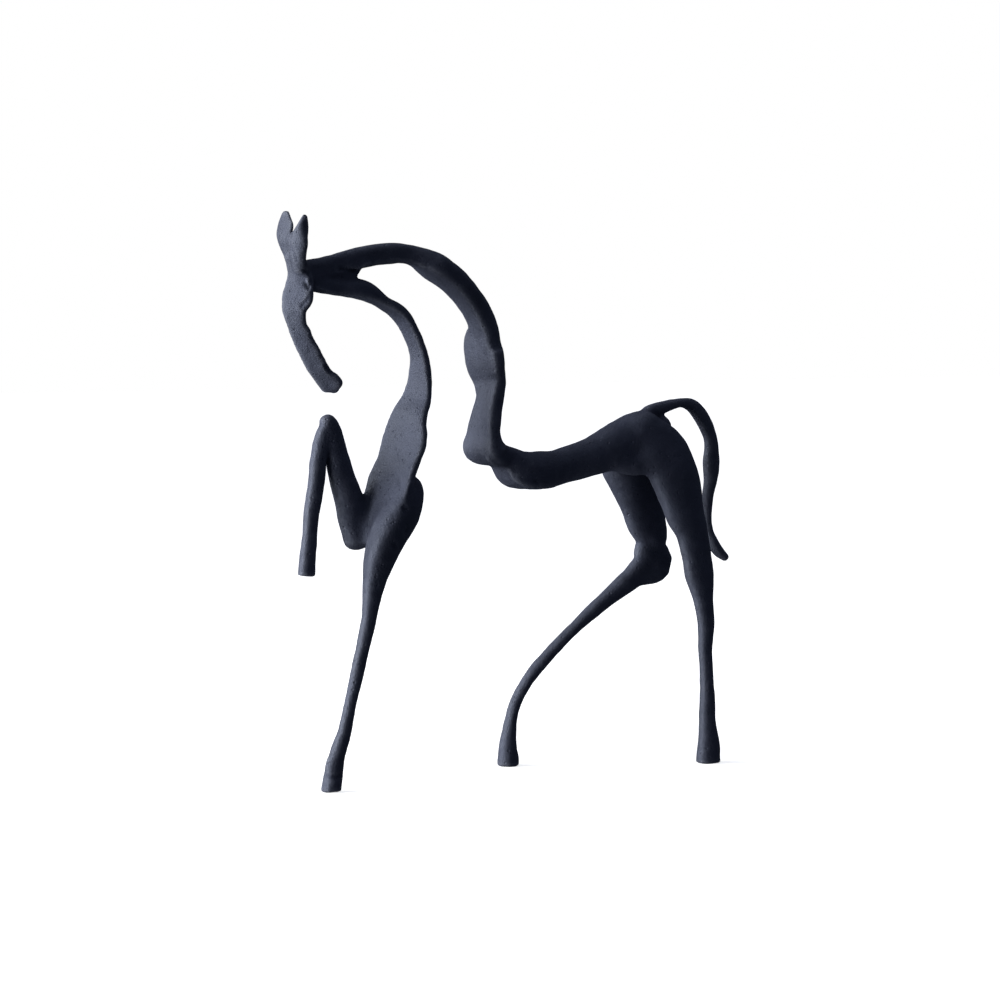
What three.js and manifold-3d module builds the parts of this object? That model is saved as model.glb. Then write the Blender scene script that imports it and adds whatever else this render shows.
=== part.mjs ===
// A standing horse in openwork, cast in one piece of iron.
//
// The horse faces -X and its left side is turned to -Y. It stands on the soles of three hooves at
// z = 0, and its box is centred on X and Y. Every place and girth below is a share of the horse's
// height in percent, so the pose and the proportions keep to each other at any size.

import * as THREE from 'three';
import { ParametricGeometry } from 'three/addons/geometries/ParametricGeometry.js';
import { mergeVertices } from 'three/addons/utils/BufferGeometryUtils.js';
import Module from 'manifold-3d';

const wasm = await Module();
wasm.setup();

// Driving dimensions in millimetres
const HEIGHT = 300;

// Fineness of the faceted surface
const SIDES = 14;
const STEPS_PER_ROW = 2;
const CAP_RINGS = 2;

// Casting colour
const IRON = { color: 0x1b1d22, roughness: 0.55, metalness: 0.6 };

// Limbs, as rows of [x, y, z, half width, half depth, turn]. A section's width lies across the horse
// and its depth lies square to that and to the limb. The turn, in degrees, twists the section about
// the limb. `face` and `back` say how square the section is on its inner and outer side, where 2 is
// an ellipse and 4 is nearly a box. `start` and `end` say how far the round ends stand out, as shares
// of the half depth.

const crest = {
  face: 6,
  back: 3,
  rows: [
    [-42.4, 0.0, 89.8, 1.69, 1.5],
    [-37.6, 0.0, 90.7, 1.8, 1.68],
    [-31.8, 0.0, 92.1, 1.8, 1.8],
    [-26.2, 0.0, 92.9, 1.85, 1.85],
    [-21.2, 0.0, 92.7, 2.17, 1.63],
    [-16.6, 0.0, 90.8, 3.9, 2.05],
    [-12.2, 0.0, 87.8, 3.6, 1.88],
    [-8.4, 0.1, 83.8, 2.98, 1.9],
    [-6.4, 0.5, 80.0, 3.23, 1.77],
    [-5.7, 1.4, 76.7, 5.3, 1.72],
    [-5.4, 1.3, 73.1, 5.55, 1.47],
    [-4.8, 0.9, 70.4, 4.61, 1.24],
    [-5.1, 0.4, 67.5, 3.48, 1.41],
    [-5.7, 0.7, 64.1, 3.98, 1.47],
    [-5.9, 1.1, 61.1, 4.65, 1.47],
    [-5.3, 1.2, 58.1, 5.73, 2.22],
    [-2.1, 0.9, 56.8, 4.24, 2.03],
    [1.0, 0.4, 54.3, 4.89, 3.07],
    [5.5, 0.0, 54.4, 3.29, 2.77],
  ],
};

const barrel = {
  face: 2.3,
  back: 2.1,
  rows: [
    [-0.9, 0.0, 56.2, 3, 1.7],
    [2.4, 0.0, 54.8, 3.8, 2.75],
    [6.2, 0.0, 54.4, 3.8, 3.15],
    [11.2, 0.0, 55.5, 3.9, 3.2],
    [16.4, 0.0, 56.7, 4.2, 3.45],
    [20.9, 0.0, 58.3, 4.5, 4.1],
    [25.1, 0.0, 59.3, 4.7, 5],
    [28.9, 0.0, 60.5, 4, 4.5],
    [30.8, 0.0, 61.9, 2, 2],
  ],
};

const throat = {
  face: 6,
  back: 2.6,
  rows: [
    [-40.7, 0.0, 87.9, 1.61, 1.42],
    [-35.5, 0.0, 87.0, 1.9, 1.42],
    [-31.0, 0.0, 86.7, 2.04, 1.65, -4],
    [-27.0, 0.0, 84.6, 1.92, 0.89, -8],
    [-23.4, 0.0, 82.4, 2.08, 0.94, -10],
    [-21.1, 0.0, 79.0, 1.93, 0.84, -12],
    [-19.7, 0.0, 75.3, 2, 0.88, -14],
    [-19.4, 0.0, 71.6, 2.53, 0.94, -15],
    [-20.0, 0.0, 67.9, 3.41, 0.96, -15],
    [-21.7, 0.0, 64.4, 4.33, 0.97, -15],
    [-22.5, 0.0, 60.5, 5.38, 0.96, -15],
    [-23.8, 0.0, 56.6, 5.04, 1.06, -15],
    [-25.3, 0.0, 53.0, 5.44, 1.22, -15],
    [-26.1, 0.0, 49.4, 5.03, 1.42, -15],
    [-27.4, 0.2, 45.9, 3.95, 1.41, -15],
    [-28.6, 0.4, 43.1, 2.47, 1.14, -15],
  ],
};

const web = {
  face: 2.4,
  back: 2.4,
  rows: [
    [-41.6, 0.0, 89.1, 1.2, 2.6],
    [-36.3, 0.0, 89.3, 1.2, 2.4],
    [-33.0, 0.0, 89.6, 1.1, 2.1],
    [-31.5, 0.0, 89.5, 0.8, 1.1],
  ],
};

const head = {
  face: 4.5,
  back: 3.2,
  rows: [
    [-43.9, 0.0, 92.4, 2, 1.37, 15],
    [-43.4, 0.0, 90.3, 2.84, 1.57, 15],
    [-43.3, 0.0, 87.1, 3.04, 2.06, 15],
    [-43.1, 0.0, 85.0, 3.08, 2.35, 7],
    [-43.9, 0.0, 83.0, 2.75, 1.4],
    [-43.3, 0.0, 80.4, 2.68, 0.98],
    [-41.8, 0.0, 77.1, 2.33, 1.19],
    [-40.1, 0.0, 74.0, 2.11, 1.35],
    [-38.2, 0.0, 71.6, 1.92, 1.3],
    [-36.6, 0.0, 70.1, 1.85, 1.38],
  ],
};

const farEar = {
  face: 2.0,
  back: 2.0,
  rows: [
    [-43.1, 0.8, 90.0, 1.2, 0.9, 15],
    [-43.9, 1.5, 92.6, 1.5, 0.75, 10],
    [-44.6, 2.1, 95.4, 2.2, 0.65, 5],
    [-44.3, 2.3, 97.7, 2.5, 0.65, 5],
    [-44.2, 2.4, 99.7, 1.1, 0.5, 5],
  ],
};

const nearEar = {
  face: 2.0,
  back: 2.0,
  rows: [
    [-43.3, -0.9, 90.0, 1.2, 0.9, 15],
    [-43.9, -1.6, 92.7, 1.7, 0.75, 30],
    [-44.0, -2.1, 95.2, 1.85, 0.65, 35],
    [-43.4, -2.4, 97.2, 1.15, 0.55, 35],
    [-43.0, -2.5, 98.9, 0.6, 0.42, 35],
  ],
};

const standingFore = {
  face: 2.6,
  back: 2.2,
  end: 0,
  rows: [
    [-23.1, -1.0, 53.9, 1.6, 0.9, -14],
    [-22.8, -1.7, 51.5, 2.7, 2.5, -14],
    [-24.4, -2.2, 48.1, 3, 3.3, -13],
    [-26.9, -2.6, 44.4, 2.9, 3.15, -8],
    [-29.0, -2.9, 40.4, 2.52, 2.78, -5],
    [-30.1, -3.0, 36.4, 1.87, 2.07],
    [-30.9, -3.0, 32.4, 1.4, 1.5],
    [-31.7, -2.8, 27.4, 1.2, 1.22],
    [-33.1, -2.6, 21.4, 1.12, 1.17],
    [-34.4, -2.3, 15.9, 1.08, 1.1],
    [-35.6, -2.0, 10.4, 1.13, 1.18],
    [-36.9, -1.7, 5.9, 1.33, 1.43],
    [-37.6, -1.4, 1.5, 1.62, 1.74],
    [-38.0, -1.3, -0.9, 1.55, 1.65],
  ],
};

const raisedArm = {
  face: 2.4,
  back: 2.4,
  rows: [
    [-30.6, 3.2, 43.2, 1.9, 2.2],
    [-31.0, 3.7, 46.4, 1.95, 2.6],
    [-31.7, 4.0, 50.4, 1.9, 2.5],
    [-32.9, 4.2, 54.5, 1.7, 2.37],
    [-33.8, 4.3, 58.4, 1.54, 2.01],
    [-34.7, 4.3, 62.0, 1.46, 1.82],
    [-35.6, 4.3, 64.0, 1.33, 1.27],
  ],
};

const raisedCannon = {
  face: 2.6,
  back: 2.6,
  end: 0.1,
  rows: [
    [-34.9, 4.3, 63.5, 1.14, 1.23],
    [-36.2, 4.3, 61.3, 1.31, 1.52],
    [-37.3, 4.3, 57.6, 1.29, 1.37],
    [-37.7, 4.3, 53.4, 1.33, 1.51],
    [-38.6, 4.3, 48.4, 1.26, 1.34],
    [-39.1, 4.3, 43.3, 1.22, 1.36],
    [-39.7, 4.3, 37.2, 1.38, 1.48],
  ],
};

const nearHind = {
  face: 2.3,
  back: 2.3,
  end: 0,
  rows: [
    [25.6, -2.6, 61.4, 2.2, 3.2],
    [28.1, -3.6, 58.1, 2.6, 4.7],
    [30.3, -4.3, 54.2, 2.8, 4.75],
    [31.6, -4.8, 50.2, 2.7, 4.45],
    [32.6, -5.2, 46.2, 2.4, 3.9],
    [33.9, -5.6, 42.5, 2.04, 3.15],
    [34.7, -5.9, 38.5, 1.9, 2.85],
    [35.2, -6.2, 34.8, 1.89, 2.86],
    [35.9, -6.5, 30.3, 1.53, 1.98],
    [36.3, -6.8, 25.4, 1.34, 1.6],
    [36.1, -7.0, 20.4, 1.16, 1.28],
    [36.4, -7.2, 13.4, 1.22, 1.33],
    [36.3, -7.4, 8.4, 1.39, 1.55],
    [36.5, -7.6, 4.4, 1.63, 1.98],
    [36.3, -7.7, 1.2, 1.86, 2.3],
    [36.4, -7.7, -1.0, 1.88, 2.35],
  ],
};

const farHind = {
  face: 2.3,
  back: 2.3,
  end: 0,
  rows: [
    [24.0, 2.0, 60.0, 2.4, 3.4],
    [25.4, 3.0, 55.7, 2.6, 4.6],
    [27.1, 3.8, 51.9, 2.6, 4.3],
    [29.4, 4.6, 47.9, 2.5, 4.4],
    [30.9, 5.1, 44.0, 2.2, 4],
    [32.2, 5.4, 40.5, 2.02, 3.18],
    [31.5, 5.5, 38.1, 1.73, 2.83],
    [32.8, 5.6, 35.9, 1.87, 4.37],
    [28.6, 5.9, 33.5, 1.62, 2.33],
    [24.4, 6.1, 30.7, 1.46, 1.73],
    [20.9, 6.3, 28.2, 1.29, 1.39],
    [16.0, 6.5, 24.5, 1.2, 1.12],
    [10.8, 6.8, 20.0, 1.18, 1.11],
    [6.6, 7.1, 15.6, 1.17, 1.08],
    [4.1, 7.3, 11.5, 1.17, 1.06],
    [3.1, 7.5, 7.7, 1.23, 1.12],
    [2.6, 7.6, 4.0, 1.53, 1.53],
    [2.8, 7.7, 1.2, 1.84, 1.94],
    [2.8, 7.7, -1.0, 1.8, 1.92],
  ],
};

const tail = {
  face: 2.2,
  back: 2.2,
  rows: [
    [27.9, 0.0, 64.4, 1.4, 1.2],
    [31.7, 0.0, 65.4, 1.2, 1.1],
    [35.0, 0.0, 66.0, 1.1, 0.92],
    [37.2, 0.0, 65.5, 1.15, 1.2],
    [39.0, 0.0, 64.1, 1.3, 1.3],
    [40.6, 0.0, 61.7, 1.35, 1.35],
    [41.8, 0.0, 58.7, 1.3, 1.3],
    [41.9, 0.0, 55.2, 1.35, 1.58],
    [41.8, 0.0, 51.7, 1.25, 1.3],
    [41.1, 0.0, 48.0, 1.1, 1.1],
    [41.0, 0.0, 44.4, 1, 0.9],
    [41.7, 0.0, 41.1, 1, 0.9],
    [43.4, 0.0, 38.4, 1.1, 1],
    [45.2, 0.0, 36.9, 0.9, 0.72],
  ],
};

// A smooth line through one group of a limb's columns
function line(rows, first) {
  const points = rows.map((row) => new THREE.Vector3(row[first], row[first + 1], row[first + 2] ?? 0));
  return new THREE.CatmullRomCurve3(points, false, 'catmullrom', 0.5);
}

// A power that keeps the sign, which makes an ellipse square-shouldered
function squared(value, power) {
  return Math.sign(value) * Math.abs(value) ** (2 / power);
}

// One limb as a closed solid: a section carried along its centre line, with both ends rounded
function limb({ rows, face, back, start = 0.8, end = 0.8 }) {
  const centre = line(rows, 0);
  const girth = line(rows, 3);
  const steps = (rows.length - 1) * STEPS_PER_ROW;
  const rings = steps + 2 * CAP_RINGS;
  const across = new THREE.Vector3(0, 1, 0);

  const shape = (u, v, target) => {
    const ring = Math.round(v * rings);
    const t = THREE.MathUtils.clamp((ring - CAP_RINGS) / steps, 0, 1);
    const into = Math.min(ring, rings - ring, CAP_RINGS) / CAP_RINGS;
    const scale = Math.sin((into * Math.PI) / 2);
    const tangent = centre.getTangent(t);
    const [width, depth, turn] = girth.getPoint(t).toArray();
    const bulge = Math.cos((into * Math.PI) / 2) * depth * (t < 0.5 ? -start : end);

    const wide = across.clone().addScaledVector(tangent, -tangent.y).normalize();
    wide.applyAxisAngle(tangent, THREE.MathUtils.degToRad(turn));
    const deep = tangent.clone().cross(wide);
    const angle = 2 * Math.PI * (u % 1);
    const square = Math.sin(angle) < 0 ? face : back;

    target.copy(centre.getPoint(t)).addScaledVector(tangent, bulge);
    target.addScaledVector(wide, width * scale * squared(Math.cos(angle), square));
    target.addScaledVector(deep, depth * scale * squared(Math.sin(angle), square));
    target.multiplyScalar(HEIGHT / 100);
  };
  return solid(new ParametricGeometry(shape, SIDES, rings));
}

// A closed three.js geometry as a solid, without the flat triangles at its poles
function solid(geometry) {
  geometry.deleteAttribute('normal');
  geometry.deleteAttribute('uv');
  const merged = mergeVertices(geometry, 1e-4);
  const corners = merged.index.array;
  const triangles = [];
  for (let i = 0; i < corners.length; i += 3) {
    const [a, b, c] = [corners[i], corners[i + 1], corners[i + 2]];
    if (a !== b && b !== c && c !== a) triangles.push(a, b, c);
  }
  const vertProperties = new Float32Array(merged.attributes.position.array);
  return new wasm.Manifold(new wasm.Mesh({ numProp: 3, vertProperties, triVerts: new Uint32Array(triangles) }));
}

// The block of space above the ground, which cuts the hooves' soles flat
function aboveGround() {
  const reach = 4 * HEIGHT;
  const block = new THREE.BoxGeometry(reach, reach, reach);
  block.translate(0, 0, reach / 2);
  return solid(block);
}

// A solid as a named mesh, with its box centred over the origin
function cast(name, body) {
  const mesh = body.getMesh();
  const geometry = new THREE.BufferGeometry();
  geometry.setAttribute('position', new THREE.BufferAttribute(mesh.vertProperties, 3));
  geometry.setIndex(new THREE.BufferAttribute(mesh.triVerts, 1));
  geometry.computeBoundingBox();
  const middle = geometry.boundingBox.getCenter(new THREE.Vector3());
  geometry.translate(-middle.x, -middle.y, 0);
  geometry.computeVertexNormals();
  const result = new THREE.Mesh(geometry, new THREE.MeshStandardMaterial(IRON));
  result.name = name;
  return result;
}

const limbs = [
  crest, barrel, throat, web, head, farEar, nearEar, standingFore, raisedArm, raisedCannon, nearHind, farHind, tail,
];
const body = limbs.map(limb).reduce((joined, next) => joined.add(next)).intersect(aboveGround());

const sculpture = new THREE.Group();
sculpture.add(cast('horse', body));

export default sculpture;
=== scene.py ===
"""An openwork horse in blackened cast iron, laid out as a Blender add-on and run as a script."""

import math

import bpy
import numpy as np
import openvdb
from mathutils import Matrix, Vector, noise


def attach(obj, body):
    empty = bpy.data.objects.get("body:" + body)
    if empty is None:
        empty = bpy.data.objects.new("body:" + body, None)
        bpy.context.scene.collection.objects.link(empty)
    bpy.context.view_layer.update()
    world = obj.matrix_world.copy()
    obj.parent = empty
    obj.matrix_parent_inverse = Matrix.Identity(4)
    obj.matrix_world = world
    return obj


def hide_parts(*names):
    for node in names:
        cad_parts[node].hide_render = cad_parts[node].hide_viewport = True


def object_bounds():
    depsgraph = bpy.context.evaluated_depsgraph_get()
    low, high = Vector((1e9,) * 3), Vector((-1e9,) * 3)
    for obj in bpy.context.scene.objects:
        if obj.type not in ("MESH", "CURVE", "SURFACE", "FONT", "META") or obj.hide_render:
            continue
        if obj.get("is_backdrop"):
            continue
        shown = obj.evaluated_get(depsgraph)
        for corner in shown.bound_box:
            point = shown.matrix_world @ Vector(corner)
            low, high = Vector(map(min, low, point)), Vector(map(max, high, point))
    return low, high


bl_info = {
    "name": "Openwork Iron Horse",
    "version": (1, 0, 0),
    "blender": (4, 5, 0),
    "location": "3D View > Sidebar > Iron Horse",
    "description": "Models the horse casting, its blackened iron finish and a plain studio",
    "category": "Object",
}

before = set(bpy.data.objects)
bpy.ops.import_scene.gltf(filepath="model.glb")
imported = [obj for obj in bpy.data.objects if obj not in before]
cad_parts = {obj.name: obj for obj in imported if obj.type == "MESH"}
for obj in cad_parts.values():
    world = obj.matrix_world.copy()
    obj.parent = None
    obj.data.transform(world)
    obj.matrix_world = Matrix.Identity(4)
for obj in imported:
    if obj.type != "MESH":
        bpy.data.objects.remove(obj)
CAD_LOW, CAD_HIGH = (Vector(corner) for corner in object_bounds())

# Limbs of the horse, as rows of x, y, z, half width, half depth and, where the section is turned, its
# turn in degrees. Places and girths are in percent of the height. "face" and "back" say how square a
# section is on its inner and outer side, and "fillet" is the radius in millimetres that melts the limb
# into those before it. "end" says how far the last end stands out, as a share of the half depth,
# where it isn't as round as the rest.
LIMBS = {
    "crest": {
        "face": 6, "back": 3, "fillet": 0,
        "rows": [
            (-42.4, 0.0, 89.8, 1.69, 1.5),
            (-37.6, 0.0, 90.7, 1.8, 1.68),
            (-31.8, 0.0, 92.1, 1.8, 1.8),
            (-26.2, 0.0, 92.9, 1.85, 1.85),
            (-21.2, 0.0, 92.7, 2.17, 1.63),
            (-16.6, 0.0, 90.8, 3.9, 2.05),
            (-12.2, 0.0, 87.8, 3.6, 1.88),
            (-8.4, 0.1, 83.8, 2.98, 1.9),
            (-6.4, 0.5, 80.0, 3.23, 1.77),
            (-5.7, 1.4, 76.7, 5.3, 1.72),
            (-5.4, 1.3, 73.1, 5.55, 1.47),
            (-4.8, 0.9, 70.4, 4.61, 1.24),
            (-5.1, 0.4, 67.5, 3.48, 1.41),
            (-5.7, 0.7, 64.1, 3.98, 1.47),
            (-5.9, 1.1, 61.1, 4.65, 1.47),
            (-5.3, 1.2, 58.1, 5.73, 2.22),
            (-2.1, 0.9, 56.8, 4.24, 2.03),
            (1.0, 0.4, 54.3, 4.89, 3.07),
            (5.5, 0.0, 54.4, 3.29, 2.77),
        ],
    },
    "barrel": {
        "face": 2.3, "back": 2.1, "fillet": 5,
        "rows": [
            (-0.9, 0.0, 56.2, 3, 1.7),
            (2.4, 0.0, 54.8, 3.8, 2.75),
            (6.2, 0.0, 54.4, 3.8, 3.15),
            (11.2, 0.0, 55.5, 3.9, 3.2),
            (16.4, 0.0, 56.7, 4.2, 3.45),
            (20.9, 0.0, 58.3, 4.5, 4.1),
            (25.1, 0.0, 59.3, 4.7, 5),
            (28.9, 0.0, 60.5, 4, 4.5),
            (30.8, 0.0, 61.9, 2, 2),
        ],
    },
    "flank": {
        "face": 2, "back": 2, "fillet": 3,
        "rows": [
            (14.6, -1.3, 57.9, 1, 1.4),
            (17.0, -2.0, 57.0, 1.6, 2),
            (19.2, -2.5, 56.4, 1.75, 2.2),
            (21.6, -2.8, 55.4, 1.85, 2.2),
            (24.0, -3.2, 55.5, 1.9, 2.4),
            (26.3, -3.5, 56.5, 2, 2.6),
        ],
    },
    "throat": {
        "face": 6, "back": 2.6, "fillet": 3,
        "rows": [
            (-40.7, 0.0, 87.9, 1.61, 1.42),
            (-35.5, 0.0, 87.0, 1.9, 1.42),
            (-31.0, 0.0, 86.7, 2.04, 1.65, -4),
            (-27.0, 0.0, 84.6, 1.92, 0.89, -8),
            (-23.4, 0.0, 82.4, 2.08, 0.94, -10),
            (-21.1, 0.0, 79.0, 1.93, 0.84, -12),
            (-19.7, 0.0, 75.3, 2, 0.88, -14),
            (-19.4, 0.0, 71.6, 2.53, 0.94, -15),
            (-20.0, 0.0, 67.9, 3.41, 0.96, -15),
            (-21.7, 0.0, 64.4, 4.33, 0.97, -15),
            (-22.5, 0.0, 60.5, 5.38, 0.96, -15),
            (-23.8, 0.0, 56.6, 5.04, 1.06, -15),
            (-25.3, 0.0, 53.0, 5.44, 1.22, -15),
            (-26.1, 0.0, 49.4, 5.03, 1.42, -15),
            (-27.4, 0.2, 45.9, 3.95, 1.41, -15),
            (-28.6, 0.4, 43.1, 2.47, 1.14, -15),
        ],
    },
    "web": {
        "face": 2.4, "back": 2.4, "fillet": 2,
        "rows": [
            (-41.6, 0.0, 89.1, 1.2, 2.6),
            (-36.3, 0.0, 89.3, 1.2, 2.4),
            (-33.0, 0.0, 89.8, 1.1, 1.8),
            (-31.7, 0.0, 89.9, 0.7, 0.5),
        ],
    },
    "head": {
        "face": 5, "back": 1.5, "fillet": 2.5,
        "rows": [
            (-43.7, 0.0, 92.4, 2.09, 0.9, -10),
            (-43.0, 0.0, 90.3, 2.11, 0.8, -25),
            (-42.6, 0.0, 88.6, 2.51, 0.9, -27),
            (-42.7, 0.0, 87.0, 2.83, 1, -27),
            (-43.0, 0.0, 85.0, 3.15, 1.2, -25),
            (-43.6, 0.0, 83.0, 2.3, 1.1, -30),
            (-43.1, 0.0, 80.4, 1.8, 0.95, -35),
            (-41.5, 0.0, 77.1, 1.9, 1, -38),
            (-39.7, 0.0, 74.0, 1.88, 1.05, -38),
            (-37.9, 0.0, 71.6, 1.8, 1.1, -38),
            (-36.8, 0.0, 70.4, 1.95, 1.2, -36),
            (-36.3, 0.0, 69.7, 1.5, 1.05, -34),
            (-36.1, 0.0, 69.3, 0.8, 0.6, -34),
        ],
    },
    "far_ear": {
        "face": 2, "back": 2, "fillet": 1.5,
        "rows": [
            (-43.1, 0.8, 90.0, 1.2, 0.9, 15),
            (-43.9, 1.5, 92.6, 1.5, 0.75, 10),
            (-44.6, 2.1, 95.4, 2.2, 0.65, 5),
            (-44.3, 2.3, 97.7, 2.5, 0.65, 5),
            (-44.2, 2.4, 99.7, 1.1, 0.5, 5),
        ],
    },
    "near_ear": {
        "face": 2, "back": 2, "fillet": 1.5,
        "rows": [
            (-43.3, -0.9, 90.0, 1.2, 0.9, 15),
            (-43.9, -1.6, 92.7, 1.83, 1.15, 14),
            (-44.0, -2.1, 95.2, 2.14, 1.15, 14),
            (-43.4, -2.4, 97.2, 0.97, 1.15, 14),
            (-43.0, -2.5, 98.9, 0.43, 0.68, 14),
        ],
    },
    "standing_fore": {
        "face": 2.6, "back": 2.2, "end": 0, "fillet": 4,
        "rows": [
            (-23.8, -0.7, 56.0, 1.4, 0.6, -14),
            (-23.2, -1.2, 53.7, 2.1, 1.6, -14),
            (-22.8, -1.7, 51.5, 2.7, 2.5, -14),
            (-24.4, -2.2, 48.1, 3, 3.3, -13),
            (-26.9, -2.6, 44.4, 2.9, 3.15, -8),
            (-29.0, -2.9, 40.4, 2.52, 2.78, -5),
            (-30.1, -3.0, 36.4, 1.87, 2.07),
            (-30.9, -3.0, 32.4, 1.4, 1.5),
            (-31.7, -2.8, 27.4, 1.2, 1.22),
            (-33.1, -2.6, 21.4, 1.12, 1.17),
            (-34.4, -2.3, 15.9, 1.08, 1.1),
            (-35.6, -2.0, 10.4, 1.13, 1.18),
            (-36.9, -1.7, 5.9, 1.33, 1.43),
            (-37.6, -1.4, 1.5, 1.62, 1.74),
            (-38.0, -1.3, -0.9, 1.55, 1.65),
        ],
    },
    "raised_arm": {
        "face": 2.4, "back": 2.4, "fillet": 6,
        "rows": [
            (-30.6, 3.2, 43.2, 1.9, 2.2),
            (-30.9, 3.7, 46.4, 2.1, 2.6),
            (-31.6, 4.0, 50.4, 2.15, 2.5),
            (-32.9, 4.2, 54.5, 1.7, 2.37),
            (-33.8, 4.3, 58.4, 1.54, 2.01),
            (-34.7, 4.3, 62.0, 1.46, 1.82),
            (-35.6, 4.3, 64.0, 1.33, 1.27),
        ],
    },
    "raised_shank": {
        "face": 2.6, "back": 2.6, "end": 0.1, "fillet": 1.5,
        "rows": [
            (-34.9, 4.3, 63.5, 1.14, 1.23),
            (-36.2, 4.3, 61.3, 1.31, 1.52),
            (-37.3, 4.3, 57.6, 1.29, 1.37),
            (-37.7, 4.3, 53.4, 1.33, 1.51),
            (-38.6, 4.3, 48.4, 1.26, 1.34),
            (-39.1, 4.3, 43.3, 1.22, 1.36),
            (-39.7, 4.3, 37.2, 1.38, 1.48),
        ],
    },
    "near_hind": {
        "face": 2.3, "back": 2.3, "end": 0, "fillet": 4,
        "rows": [
            (25.6, -2.6, 61.4, 2.2, 3.2),
            (28.1, -3.6, 58.1, 2.6, 4.7),
            (30.3, -4.3, 54.2, 2.8, 4.75),
            (31.6, -4.8, 50.2, 2.7, 4.45),
            (32.6, -5.2, 46.2, 2.4, 3.9),
            (33.9, -5.6, 42.5, 2.04, 3.15),
            (34.7, -5.9, 38.5, 1.9, 2.85),
            (35.2, -6.2, 34.8, 1.89, 2.86),
            (35.9, -6.5, 30.3, 1.53, 1.98),
            (36.3, -6.8, 25.4, 1.34, 1.6),
            (36.1, -7.0, 20.4, 1.16, 1.28),
            (36.4, -7.2, 13.4, 1.22, 1.33),
            (36.3, -7.4, 8.4, 1.39, 1.55),
            (36.5, -7.6, 4.4, 1.63, 1.98),
            (36.3, -7.7, 1.2, 1.86, 2.3),
            (36.4, -7.7, -1.0, 1.88, 2.35),
        ],
    },
    "far_hind": {
        "face": 2.3, "back": 2.3, "end": 0, "fillet": 2.5,
        "rows": [
            (23.1, 2.0, 59.3, 2.6, 3.4),
            (24.4, 3.0, 55.4, 3.9, 4.2),
            (26.6, 3.8, 51.9, 3.3, 4.3),
            (29.4, 4.6, 47.9, 2.5, 4.4),
            (30.9, 5.1, 44.0, 2.2, 4),
            (32.2, 5.4, 40.5, 2.02, 3.18),
            (31.5, 5.5, 38.1, 1.73, 2.83),
            (32.6, 5.6, 36.1, 1.87, 4.15),
            (28.6, 5.9, 33.5, 1.62, 2.33, -15),
            (24.4, 6.1, 30.7, 1.46, 1.73, -15),
            (20.9, 6.3, 28.2, 1.29, 1.39, -15),
            (16.0, 6.5, 24.5, 1.2, 1.12, -15),
            (10.8, 6.8, 20.0, 1.18, 1.11, -15),
            (6.6, 7.1, 15.6, 1.17, 1.08, -15),
            (4.1, 7.3, 11.5, 1.17, 1.06, -15),
            (3.1, 7.5, 7.7, 1.23, 1.12, -15),
            (2.6, 7.6, 4.0, 1.53, 1.53),
            (2.8, 7.7, 1.2, 1.84, 1.94),
            (2.8, 7.7, -1.0, 1.8, 1.92),
        ],
    },
    "tail": {
        "face": 2.2, "back": 2.2, "fillet": 3,
        "rows": [
            (27.9, 0.0, 64.4, 1.4, 1.2),
            (31.7, 0.0, 65.4, 1.2, 1.1),
            (35.0, 0.0, 66.0, 1.1, 0.92),
            (37.2, 0.0, 65.5, 1.15, 1.2),
            (39.0, 0.0, 64.1, 1.3, 1.3),
            (40.6, 0.0, 61.7, 1.35, 1.35),
            (41.8, 0.0, 58.7, 1.3, 1.3),
            (41.9, 0.0, 55.2, 1.35, 1.58),
            (41.8, 0.0, 51.7, 1.25, 1.3),
            (41.1, 0.0, 48.0, 1.1, 1.1),
            (41.0, 0.0, 44.4, 1, 0.9),
            (41.7, 0.0, 41.1, 1, 0.9),
            (43.4, 0.0, 38.4, 1.1, 1),
            (45.2, 0.0, 36.9, 0.9, 0.72),
        ],
    },
}

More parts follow.
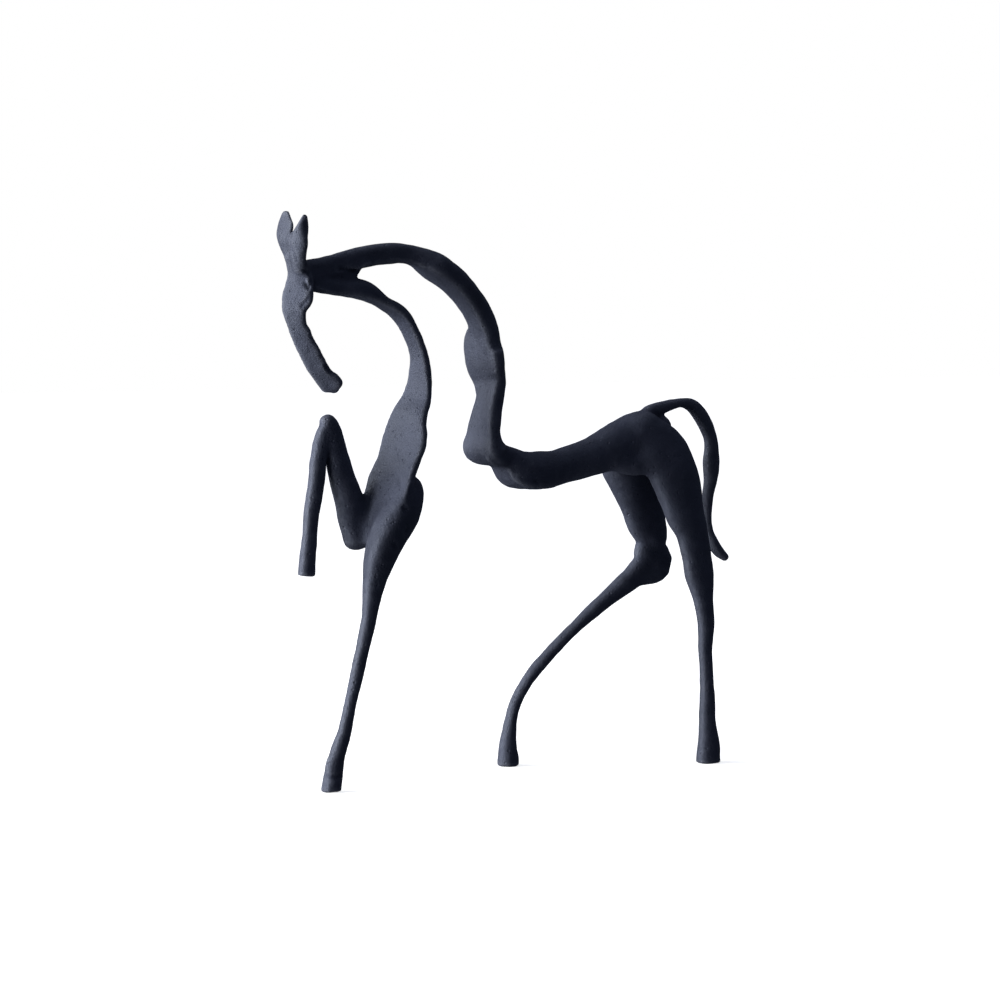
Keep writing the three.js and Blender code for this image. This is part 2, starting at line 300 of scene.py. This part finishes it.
# Strokes of the modelling tool: a path in percent of the height, its half breadth and its height in
# millimetres, and the direction that the surface under it faces.
STROKES = [
    # The chin's knob, the notch above it and the lumps along the jaw
    ([(-36.8, -1.6, 71.8), (-36.2, -1.6, 70.6)], 2.4, 1.5, (0.85, -0.4, 0.3)),
    ([(-38.7, -1.8, 73.5), (-38.1, -1.8, 72.8)], 1.4, -1.1, (0.7, -0.6, 0.35)),
    ([(-42.1, -1.8, 79.9), (-41.9, -1.8, 79.4)], 1.6, 1.0, (0.85, -0.4, 0.3)),
    ([(-40.6, -1.8, 76.9), (-40.2, -1.8, 76.2)], 1.6, 1.0, (0.85, -0.4, 0.3)),
    ([(-39.4, -1.8, 74.8), (-39.2, -1.8, 74.4)], 1.4, 0.6, (0.85, -0.4, 0.3)),
    # The curled eye and the lobe of the cheek
    ([(-42.8, -2.1, 89.8), (-42.1, -2.2, 89.6), (-41.7, -2.3, 88.8), (-41.8, -2.5, 87.6),
      (-42.4, -2.5, 86.9), (-42.8, -2.0, 87.5)], 0.9, -1.5, (-0.85, -0.5, 0)),
    ([(-42.2, -2.4, 88.5), (-42.3, -2.4, 88.0)], 1.0, 0.9, (-0.85, -0.5, 0)),
    ([(-41.8, -2.7, 85.9), (-42.9, -2.9, 84.7), (-43.7, -2.3, 83.9)], 1.1, -0.9, (-0.8, -0.6, 0)),
    # Grooves down the ears and between their roots
    ([(-44.7, -1.2, 93.5), (-44.9, -1.4, 95.9), (-44.8, -1.5, 98.3)], 1.1, -0.5, (-0.9, -0.3, 0.1)),
    ([(-43.3, -3.2, 93.5), (-43.3, -3.4, 95.9), (-43.2, -3.6, 98.0)], 0.9, -0.5, (-0.2, -0.98, 0.1)),
    ([(-44.8, -1.6, 93.6), (-44.4, -2.2, 91.6)], 0.9, -0.6, (-0.9, -0.4, 0)),
    # The crease of the neck's fork and the bevel under the crest
    ([(-35.9, -1.8, 90.2), (-34.5, -1.7, 89.9), (-32.9, -1.3, 89.8)], 1.3, -1.0, (0, -0.95, -0.3)),
    ([(-31.4, -1.9, 90.9), (-29.7, -1.9, 91.3), (-26.6, -1.9, 91.8), (-23.4, -2.0, 91.6),
      (-20.0, -2.4, 90.6)], 1.0, 0.5, (0, -0.5, -0.85)),
    # The rims in the fork and under the throat
    ([(-32.7, -1.7, 89.9), (-31.7, -1.8, 90.6), (-30.4, -1.8, 91.2)], 1.0, 1.0, (-0.3, -0.9, -0.3)),
    ([(-40.6, -1.9, 86.9), (-38.6, -1.7, 86.4), (-36.5, -1.6, 85.9)], 0.9, 0.7, (-0.2, -0.7, -0.7)),
    # The strip that runs from the ribbon's foot under the barrel
    ([(-7.0, -2.4, 57.0), (-6.0, -2.8, 56.2), (-4.2, -2.9, 54.9), (-2.2, -2.9, 53.2),
      (-0.1, -4.0, 52.3), (3.0, -4.0, 52.0)], 1.5, 1.0, (-0.6, -0.5, -0.6)),
    # The knob above the standing fore hoof and the groove round its wall
    ([(-38.6, -1.6, 5.6), (-38.9, -1.6, 4.6)], 2.4, 1.0, (-0.9, -0.4, 0.1)),
    ([(-39.0, -2.0, 2.9), (-37.6, -3.2, 2.7), (-36.4, -2.8, 2.9)], 1.2, -0.7, (-0.4, -0.9, 0)),
    # Pits in the barrel, the breast and the leaf of the neck
    ([(-2.6, -3.5, 55.0), (-2.3, -3.6, 54.8)], 1.6, -0.8, (-0.3, -0.95, 0)),
    ([(1.2, -4.4, 52.6), (1.6, -4.4, 52.4)], 1.4, -0.7, (0, -1, 0)),
    ([(-25.5, -2.9, 53.8), (-25.4, -3.2, 53.2)], 1.3, -0.6, (-0.8, -0.5, 0.3)),
    ([(-25.7, -5.4, 49.1), (-25.4, -5.4, 48.7)], 1.3, -0.7, (-0.2, -0.95, 0)),
    ([(-24.8, -5.2, 45.2), (-25.1, -5.2, 44.9)], 1.3, -0.7, (0.1, -0.95, 0)),
    ([(-27.7, -5.5, 42.7), (-27.5, -5.5, 42.2)], 1.2, -0.6, (0, -1, 0)),
    ([(-27.3, -1.9, 50.3), (-27.2, -2.1, 49.8)], 1.3, -0.5, (-0.8, -0.3, 0.4)),
    ([(-24.0, -0.9, 58.5), (-24.2, -0.9, 58.0)], 1.5, -0.3, (-0.9, -0.3, 0.3)),
    ([(-25.4, -0.6, 55.4), (-25.3, -0.9, 55.0)], 1.5, -0.3, (-0.9, -0.3, 0.3)),
]

# Millimetres in a metre, and the whole of which places and girths are a share
MILLIMETRES = 1000
PER_CENT = 100

# How far a limb's ends stand out, as a share of the half depth
ROUND_END = 0.8

# Rings of a loft from one row to the next, points round a ring, and rings in each round end
RINGS_PER_ROW = 6
RING_POINTS = 48
CAP_RINGS = 6

# Voxels that a distance field reaches on either side of the skin
BAND = 9

# Share of a point's distance along a stroke's facing that isn't counted, so that the stroke
# follows a round limb
STROKE_EASE = 0.5

# How many times the fine waves of the wax are shorter and lower than the broad ones, and how
# far from those they are taken in the noise
FINE_SHORTER = 3
FINE_LOWER = 2.5
WAVE_SHIFT = (7.3, 3.1, 5.7)

# Clouds in the iron's tone in a metre, and pits in the length of a grain
CLOUDS_PER_METRE = 40
PITS_PER_GRAIN = 0.3

# Soft lights of the studio: place and side in metres, and power in watts. The low key stands under
# the floor, which lets light through and casts no shadow.
LAMPS = {
    "key": ((-1.15, 0.5, 0.55), 1.2, 35),
    "low key": ((-0.85, 0.08, -0.2), 0.5, 5),
}

# Colours of the surround that lights the horse, from straight below (0) to straight above (1), and
# the places between which it is level
SURROUND_BELOW = (0.075, 0.084, 0.11, 1)
SURROUND_LEVEL = (0.048, 0.054, 0.075, 1)
SURROUND_ABOVE = (0.25, 0.275, 0.35, 1)
LEVEL_PLACES = (0.36, 0.66)
WHITE = (1, 1, 1, 1)

# Half the side of the floor, and the ring in which its glow grows to full white, in metres
FLOOR_REACH = 6.0
GLOW_START = 0.15
GLOW_END = 0.5

# The photograph's viewpoint, in degrees, metres and millimetres of lens
VIEW_AZIMUTH = -30
VIEW_ELEVATION = 4
VIEW_DISTANCE = 1.5
VIEW_TARGET = (-0.0331, -0.0397, 0.1512)
VIEW_LENS = 104.13
SENSOR_WIDTH = 36
VIEW_DEPTH = 50


def smooth_line(points, t):
    """A place on the Catmull-Rom line through the points, with t counted in points, and its slope."""
    last = len(points) - 1
    index = min(int(t), last - 1)
    local = t - index
    p1, p2 = points[index], points[index + 1]
    p0 = points[index - 1] if index > 0 else 2 * p1 - p2
    p3 = points[index + 2] if index + 2 <= last else 2 * p2 - p1
    a = 2 * p1
    b = p2 - p0
    c = 2 * p0 - 5 * p1 + 4 * p2 - p3
    d = 3 * p1 - p0 - 3 * p2 + p3
    place = (a + b * local + c * local**2 + d * local**3) / 2
    slope = (b + 2 * c * local + 3 * d * local**2) / 2
    return place, slope


def squared(value, power):
    """A power that keeps the sign, which gives an ellipse square shoulders."""
    return np.sign(value) * np.abs(value) ** (2 / power)


def section_axes(tangent, turn):
    """The directions of a section's width and depth, turned about the limb by that many degrees."""
    across = np.array([0, 1, 0]) - tangent * tangent[1]
    across /= np.linalg.norm(across)
    beside = np.cross(tangent, across)
    spin = math.radians(turn)
    wide = across * math.cos(spin) + beside * math.sin(spin)
    return wide, np.cross(tangent, wide)


def section(limb, rows, t, into):
    """A ring of points round the limb. Into goes from 0 at the tip of a round end to 1 on the limb."""
    place, slope = smooth_line(rows, t)
    tangent = slope[:3] / np.linalg.norm(slope[:3])
    width, depth, turn = place[3:]
    wide, deep = section_axes(tangent, turn)
    angle = np.arange(RING_POINTS) * 2 * math.pi / RING_POINTS
    square = np.where(np.sin(angle) < 0, limb["face"], limb["back"])
    scale = math.sin(into * math.pi / 2)
    out = -ROUND_END if t == 0 else limb.get("end", ROUND_END)
    bulge = math.cos(into * math.pi / 2) * depth * out
    ring = place[:3] + tangent * bulge
    ring = ring + np.outer(width * scale * squared(np.cos(angle), square), wide)
    return ring + np.outer(depth * scale * squared(np.sin(angle), square), deep)


def tip(rows, t, out):
    """The point in which a round end closes."""
    place, slope = smooth_line(rows, t)
    return place[:3] + slope[:3] / np.linalg.norm(slope[:3]) * place[4] * out


def loft(limb, height):
    """The limb as a closed mesh in millimetres: its points, its quads and the triangles of its ends."""
    rows = np.array([row + (0,) * (6 - len(row)) for row in limb["rows"]])
    last = len(rows) - 1
    count = last * RINGS_PER_ROW
    stops = [(0, k / CAP_RINGS) for k in range(1, CAP_RINGS)]
    stops += [(last * k / count, 1) for k in range(count + 1)]
    stops += [(last, k / CAP_RINGS) for k in range(CAP_RINGS - 1, 0, -1)]
    points = [section(limb, rows, t, into) for t, into in stops]
    rings = len(points)
    points.append(tip(rows, 0, -ROUND_END)[None])
    points.append(tip(rows, last, limb.get("end", ROUND_END))[None])
    here = np.arange(RING_POINTS)
    ahead = np.roll(here, -1)
    quads = np.concatenate([
        np.stack([k * RING_POINTS + here, k * RING_POINTS + ahead,
                  (k + 1) * RING_POINTS + ahead, (k + 1) * RING_POINTS + here], axis=1)
        for k in range(rings - 1)
    ])
    pole = rings * RING_POINTS
    top = (rings - 1) * RING_POINTS
    ends = np.concatenate([
        np.stack([np.full(RING_POINTS, pole), ahead, here], axis=1),
        np.stack([np.full(RING_POINTS, pole + 1), top + here, top + ahead], axis=1),
    ])
    return np.concatenate(points) * height / PER_CENT, quads, ends


def melted(one, other, radius):
    """The union of two distance fields, with a fillet of that radius where they meet."""
    mix = np.clip(0.5 + 0.5 * (other - one) / radius, 0, 1)
    return other * (1 - mix) + one * mix - radius * mix * (1 - mix)


def cast_surface(height, voxel):
    """All limbs melted into one skin that ends on the ground: its points in millimetres, and quads."""
    far = BAND * voxel
    lofts = [(limb, *loft(limb, height)) for limb in LIMBS.values()]
    everything = np.concatenate([points for _, points, _, _ in lofts])
    low = np.floor(everything.min(axis=0) / voxel).astype(int) - BAND
    high = np.ceil(everything.max(axis=0) / voxel).astype(int) + BAND
    transform = openvdb.createLinearTransform(voxelSize=voxel)
    field = None
    for limb, points, quads, ends in lofts:
        grid = openvdb.FloatGrid.createLevelSetFromPolygons(
            points.astype(np.float32), triangles=ends.astype(np.uint32), quads=quads.astype(np.uint32),
            transform=transform, halfWidth=BAND)
        block = np.full(high - low, far, dtype=np.float32)
        grid.copyToArray(block, ijk=tuple(int(k) for k in low))
        field = block if field is None else melted(field, block, limb["fillet"])
    ground = -(low[2] + np.arange(field.shape[2])) * voxel
    field = np.maximum(field, ground[None, None, :])
    skin = openvdb.FloatGrid(far)
    skin.transform = transform
    skin.copyFromArray(field.astype(np.float32), ijk=tuple(int(k) for k in low))
    points, quads = skin.convertToQuads(0.0)
    return points.astype(float), quads.astype(int)


def facing_out(points, quads):
    """The quads with their corners ordered so that the faces look outwards."""
    a, b, c, d = (points[quads[:, k]] for k in range(4))
    volume = (a * np.cross(b, c)).sum() + (a * np.cross(c, d)).sum()
    return quads if volume > 0 else quads[:, ::-1]


def point_normals(points, quads):
    """Unit normals at the points, weighted by the faces' area."""
    across = points[quads[:, 2]] - points[quads[:, 0]]
    along = points[quads[:, 3]] - points[quads[:, 1]]
    face = np.cross(across, along)
    normals = np.zeros_like(points)
    for k in range(4):
        np.add.at(normals, quads[:, k], face)
    return normals / np.linalg.norm(normals, axis=1, keepdims=True).clip(1e-9)


def relaxed(points, quads):
    """The points moved halfway to the middle of their neighbours, which smooths the voxels' steps."""
    total = np.zeros_like(points)
    weight = np.zeros(len(points))
    for k in range(4):
        one, two = quads[:, k], quads[:, (k + 1) % 4]
        np.add.at(total, one, points[two])
        np.add.at(total, two, points[one])
        np.add.at(weight, one, 1)
        np.add.at(weight, two, 1)
    return (points + total / weight[:, None]) / 2


def wax_waves(points, normals, waves):
    """The soft swellings that fingers leave in modelled wax, as (wavelength, height) pairs."""
    lift = np.zeros(len(points))
    for seed, (length, rise) in enumerate(waves):
        shift = Vector(WAVE_SHIFT) * seed
        lift += rise * np.array([noise.noise(Vector(p) / length + shift) for p in points])
    return points + normals * lift[:, None]


def stroke(points, normals, path, breadth, rise, facing):
    """The points raised or pressed along a path, where the surface looks the way of the stroke."""
    facing = np.array(facing) / np.linalg.norm(facing)
    nearest = np.full(len(points), np.inf)
    for start, end in zip(path[:-1], path[1:]):
        run = end - start
        share = np.clip((points - start) @ run / (run @ run), 0, 1)
        gap = points - start - share[:, None] * run
        gap -= np.outer(gap @ facing, facing) * STROKE_EASE
        nearest = np.minimum(nearest, np.linalg.norm(gap, axis=1))
    weight = np.exp(-((nearest / breadth) ** 2)) * np.clip(normals @ facing, 0, 1)
    return points + normals * (rise * weight)[:, None]


class HorseSizes(bpy.types.PropertyGroup):
    """Sizes of the casting that a user may change."""

    height: bpy.props.FloatProperty(
        name="Height", description="From the ground to the tip of the ears", default=0.3,
        min=0.05, unit="LENGTH")
    voxel: bpy.props.FloatProperty(
        name="Fineness", description="Spacing of the surface's points", default=0.001,
        min=0.0005, unit="LENGTH")
    wave_length: bpy.props.FloatProperty(
        name="Wave length", description="From one swelling of the modelled surface to the next",
        default=0.014, unit="LENGTH")
    wave_rise: bpy.props.FloatProperty(
        name="Wave height", description="Height of the swellings", default=0.0005, unit="LENGTH")


class HorseFinish(bpy.types.PropertyGroup):
    """Colours and textures of the blackened iron and the floor."""

    iron: bpy.props.FloatVectorProperty(
        name="Iron", description="Colour of the blackened surface", subtype="COLOR", size=3,
        min=0, max=1, default=(0.042, 0.047, 0.07))
    # Colour of the convex edges: wear from rubbing, and also a painted highlight along them.
    worn_edge_and_highlight_colour: bpy.props.FloatVectorProperty(
        name="Worn iron", description="Colour where hands have rubbed the edges", subtype="COLOR",
        size=3, min=0, max=1, default=(0.15, 0.16, 0.195))
    roughness: bpy.props.FloatProperty(
        name="Roughness", description="Roughness of the satin surface", default=0.58, min=0, max=1,
        subtype="FACTOR")
    grain: bpy.props.FloatProperty(
        name="Grain", description="Size of the casting's grains", default=0.0012, unit="LENGTH")
    grain_depth: bpy.props.FloatProperty(
        name="Grain depth", description="Depth of the grain in the relief of light", default=0.0007,
        unit="LENGTH")
    pit_depth: bpy.props.FloatProperty(
        name="Pit depth", description="Depth of the pits in the relief of light", default=0.0009,
        unit="LENGTH")
    floor: bpy.props.FloatVectorProperty(
        name="Floor", description="Colour of the studio floor", subtype="COLOR", size=3,
        min=0, max=1, default=(0.9, 0.9, 0.9))


class Shading:
    """Adds nodes to a material or a world and links them, so that each reads as a short list."""

    def __init__(self, owner):
        owner.use_nodes = True
        self.owner = owner
        self.tree = owner.node_tree
        self.tree.nodes.clear()

    def node(self, kind, values=None, **settings):
        """A new node, with its inputs set to values or linked to sockets."""
        made = self.tree.nodes.new(kind)
        for key, value in settings.items():
            setattr(made, key, value)
        for socket, value in (values or {}).items():
            if isinstance(value, bpy.types.NodeSocket):
                self.tree.links.new(value, made.inputs[socket])
            else:
                made.inputs[socket].default_value = value
        return made

    def remap(self, value, span, result=(0.0, 1.0), **settings):
        """The value with its span stretched onto the result, and held at the ends."""
        ranges = {"Value": value, "From Min": span[0], "From Max": span[1],
                  "To Min": result[0], "To Max": result[1]}
        return self.node("ShaderNodeMapRange", ranges, **settings).outputs[0]

    def product(self, one, other):
        """Two numbers multiplied."""
        return self.node("ShaderNodeMath", {0: one, 1: other}, operation="MULTIPLY").outputs[0]


def iron_material(finish):
    """Blackened cast iron: uneven satin colour, sandy grain, pits, painted shade in the hollows, and
    worn edges that also carry a painted highlight.
    """
    m = Shading(bpy.data.materials.new("blackened iron"))
    place = m.node("ShaderNodeTexCoord").outputs["Object"]
    cloud = m.node("ShaderNodeTexNoise", {"Vector": place, "Scale": CLOUDS_PER_METRE, "Detail": 4,
                                          "Roughness": 0.55}).outputs["Fac"]
    sand = m.node("ShaderNodeTexNoise", {"Vector": place, "Scale": 1 / finish.grain, "Detail": 3,
                                         "Roughness": 0.6}).outputs["Fac"]
    pits = m.node("ShaderNodeTexVoronoi", {"Vector": place, "Scale": PITS_PER_GRAIN / finish.grain})
    pit = m.remap(pits.outputs["Distance"], (0.05, 0.2))
    edge = m.node("ShaderNodeNewGeometry").outputs["Pointiness"]
    # Convex edges, found by pointiness, lighten towards the edge colour: partly wear from rubbing,
    # partly a painted highlight.
    wear_and_highlight_edges = m.remap(edge, (0.505, 0.54))
    # Painted shade: the hollows, found by pointiness, darken the iron's colour down to 0.45 of itself.
    painted_hollow_shade = m.remap(edge, (0.45, 0.49), (0.45, 1.0))
    tone = m.remap(cloud, (0.3, 0.7), (0.8, 1.25))
    # The iron's colour with its random tone and the painted shade in the hollows
    base_with_painted_shade = m.node("ShaderNodeVectorMath", {0: (*finish.iron,), "Scale": m.product(tone, painted_hollow_shade)},
                  operation="SCALE")
    colour = m.node("ShaderNodeMix", {"Factor": m.product(wear_and_highlight_edges, sand), "A": base_with_painted_shade.outputs[0],
                                      "B": (*finish.worn_edge_and_highlight_colour, 1)}, data_type="RGBA")
    rough = m.remap(cloud, (0.3, 0.7), (finish.roughness - 0.06, finish.roughness + 0.08))
    grain = m.node("ShaderNodeBump", {"Strength": 0.55, "Distance": finish.grain_depth,
                                      "Height": sand})
    dents = m.node("ShaderNodeBump", {"Strength": 0.5, "Distance": finish.pit_depth, "Height": pit,
                                      "Normal": grain.outputs[0]})
    skin = m.node("ShaderNodeBsdfPrincipled", {
        "Base Color": colour.outputs["Result"], "Metallic": 0.15, "Roughness": rough,
        "Specular IOR Level": 0.35, "Specular Tint": (0.72, 0.82, 1, 1), "Normal": dents.outputs[0]})
    m.node("ShaderNodeOutputMaterial", {"Surface": skin.outputs[0]})
    return m.owner


def floor_material(finish):
    """A pale, even studio floor that glows to white away from the hooves."""
    m = Shading(bpy.data.materials.new("pale floor"))
    place = m.node("ShaderNodeTexCoord").outputs["Object"]
    away = m.node("ShaderNodeVectorMath", {0: place}, operation="LENGTH").outputs["Value"]
    glow = m.remap(away, (GLOW_START, GLOW_END), (0.75, 1.0), interpolation_type="SMOOTHSTEP")
    skin = m.node("ShaderNodeBsdfPrincipled", {
        "Base Color": (*finish.floor, 1), "Roughness": 0.9, "Emission Color": WHITE,
        "Emission Strength": glow})
    m.node("ShaderNodeOutputMaterial", {"Surface": skin.outputs[0]})
    return m.owner


def surround():
    """A world that is white to the camera and lights the horse weakly, most from straight above."""
    m = Shading(bpy.data.worlds.new("white surround"))
    seen = m.node("ShaderNodeLightPath").outputs["Is Camera Ray"]
    direction = m.node("ShaderNodeTexCoord").outputs["Generated"]
    height = m.node("ShaderNodeSeparateXYZ", {0: direction}).outputs["Z"]
    ramp = m.node("ShaderNodeValToRGB", {"Fac": m.remap(height, (-1.0, 1.0))})
    stops = ramp.color_ramp.elements
    stops[0].color = SURROUND_BELOW
    stops[1].color = SURROUND_ABOVE
    for position in LEVEL_PLACES:
        stops.new(position).color = SURROUND_LEVEL
    shade = m.node("ShaderNodeMix", {"Factor": seen, "A": ramp.outputs["Color"], "B": WHITE},
                   data_type="RGBA")
    sky = m.node("ShaderNodeBackground", {"Color": shade.outputs["Result"]})
    m.node("ShaderNodeOutputWorld", {"Surface": sky.outputs[0]})
    return m.owner


class IRONHORSE_OT_casting(bpy.types.Operator):
    """Models the whole horse as one casting in place of its faceted solid"""

    bl_idname = "ironhorse.casting"
    bl_label = "Cast the horse"

    def execute(self, context):
        scene = context.scene
        mesh = self.model(scene.horse_sizes)
        mesh.materials.append(iron_material(scene.horse_finish))
        horse = bpy.data.objects.new("horse_casting", mesh)
        scene.collection.objects.link(horse)
        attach(horse, "root")
        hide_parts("horse")
        return {"FINISHED"}

    def model(self, sizes):
        """The casting's mesh, with the strokes and waves of its modelling, inside the CAD box."""
        height = sizes.height * MILLIMETRES
        points, quads = cast_surface(height, sizes.voxel * MILLIMETRES)
        quads = facing_out(points, quads)
        points = relaxed(points, quads)
        normals = point_normals(points, quads)
        for path, breadth, rise, facing in STROKES:
            path = np.array(path) * height / PER_CENT
            points = stroke(points, normals, path, breadth, rise, facing)
        length, rise = sizes.wave_length * MILLIMETRES, sizes.wave_rise * MILLIMETRES
        waves = [(length, rise), (length / FINE_SHORTER, rise / FINE_LOWER)]
        points = wax_waves(points, normals, waves) / MILLIMETRES
        points = np.clip(points, np.array(CAD_LOW), np.array(CAD_HIGH))
        mesh = bpy.data.meshes.new("horse_casting")
        mesh.from_pydata(points.tolist(), [], quads.tolist())
        mesh.validate()
        mesh.shade_smooth()
        return mesh


class IRONHORSE_OT_studio(bpy.types.Operator):
    """Lays the pale floor, sets the soft lights and places the camera"""

    bl_idname = "ironhorse.studio"
    bl_label = "Set up the studio"

    def execute(self, context):
        scene = context.scene
        scene.view_settings.view_transform = "Standard"
        scene.world = surround()
        self.lay_floor(scene)
        for name, (place, side, watts) in LAMPS.items():
            self.hang_lamp(scene, name, place, side, watts)
        self.place_camera(scene)
        return {"FINISHED"}

    def lay_floor(self, scene):
        """A wide square floor under the hooves, through which the surround lights them from below."""
        reach = FLOOR_REACH
        mesh = bpy.data.meshes.new("floor")
        corners = [(-reach, -reach, 0), (reach, -reach, 0), (reach, reach, 0), (-reach, reach, 0)]
        mesh.from_pydata(corners, [], [(0, 1, 2, 3)])
        mesh.materials.append(floor_material(scene.horse_finish))
        floor = bpy.data.objects.new("floor", mesh)
        floor.visible_diffuse = False
        floor.visible_glossy = False
        floor.visible_shadow = False
        scene.collection.objects.link(floor)
        floor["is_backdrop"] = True

    def hang_lamp(self, scene, name, place, side, watts):
        """A square soft light that looks at the middle of the horse."""
        data = bpy.data.lights.new(name, "AREA")
        data.shape = "SQUARE"
        data.size = side
        data.energy = watts
        lamp = bpy.data.objects.new(name, data)
        middle = (CAD_LOW + CAD_HIGH) / 2
        lamp.location = place
        lamp.rotation_euler = (middle - Vector(place)).to_track_quat("-Z", "Y").to_euler()
        lamp.visible_camera = False
        scene.collection.objects.link(lamp)

    def place_camera(self, scene):
        """The photograph's viewpoint: left of the front quarter, a little above the ground."""
        azimuth, elevation = math.radians(VIEW_AZIMUTH), math.radians(VIEW_ELEVATION)
        back = Vector((math.sin(azimuth) * math.cos(elevation),
                       -math.cos(azimuth) * math.cos(elevation), math.sin(elevation)))
        data = bpy.data.cameras.new("camera")
        data.sensor_width = SENSOR_WIDTH
        data.lens = VIEW_LENS
        data.clip_end = VIEW_DEPTH
        camera = bpy.data.objects.new("camera", data)
        camera.location = Vector(VIEW_TARGET) + back * VIEW_DISTANCE
        camera.rotation_euler = back.to_track_quat("Z", "Y").to_euler()
        scene.collection.objects.link(camera)
        scene.camera = camera


class IRONHORSE_PT_panel(bpy.types.Panel):
    """Lists the sizes, the finish and the two steps"""

    bl_label = "Iron Horse"
    bl_idname = "IRONHORSE_PT_panel"
    bl_space_type = "VIEW_3D"
    bl_region_type = "UI"
    bl_category = "Iron Horse"

    def draw(self, context):
        for group in (context.scene.horse_sizes, context.scene.horse_finish):
            box = self.layout.box()
            for name in group.__annotations__:
                box.prop(group, name)
        self.layout.operator(IRONHORSE_OT_casting.bl_idname)
        self.layout.operator(IRONHORSE_OT_studio.bl_idname)


CLASSES = (HorseSizes, HorseFinish, IRONHORSE_OT_casting, IRONHORSE_OT_studio, IRONHORSE_PT_panel)


def register():
    """Adds the classes and the horse's settings to Blender."""
    for cls in CLASSES:
        bpy.utils.register_class(cls)
    bpy.types.Scene.horse_sizes = bpy.props.PointerProperty(type=HorseSizes)
    bpy.types.Scene.horse_finish = bpy.props.PointerProperty(type=HorseFinish)


def unregister():
    """Takes them out again."""
    del bpy.types.Scene.horse_finish
    del bpy.types.Scene.horse_sizes
    for cls in reversed(CLASSES):
        bpy.utils.unregister_class(cls)


def main():
    """Builds the horse and its studio."""
    register()
    bpy.ops.ironhorse.casting()
    bpy.ops.ironhorse.studio()


if __name__ == "__main__":
    main()
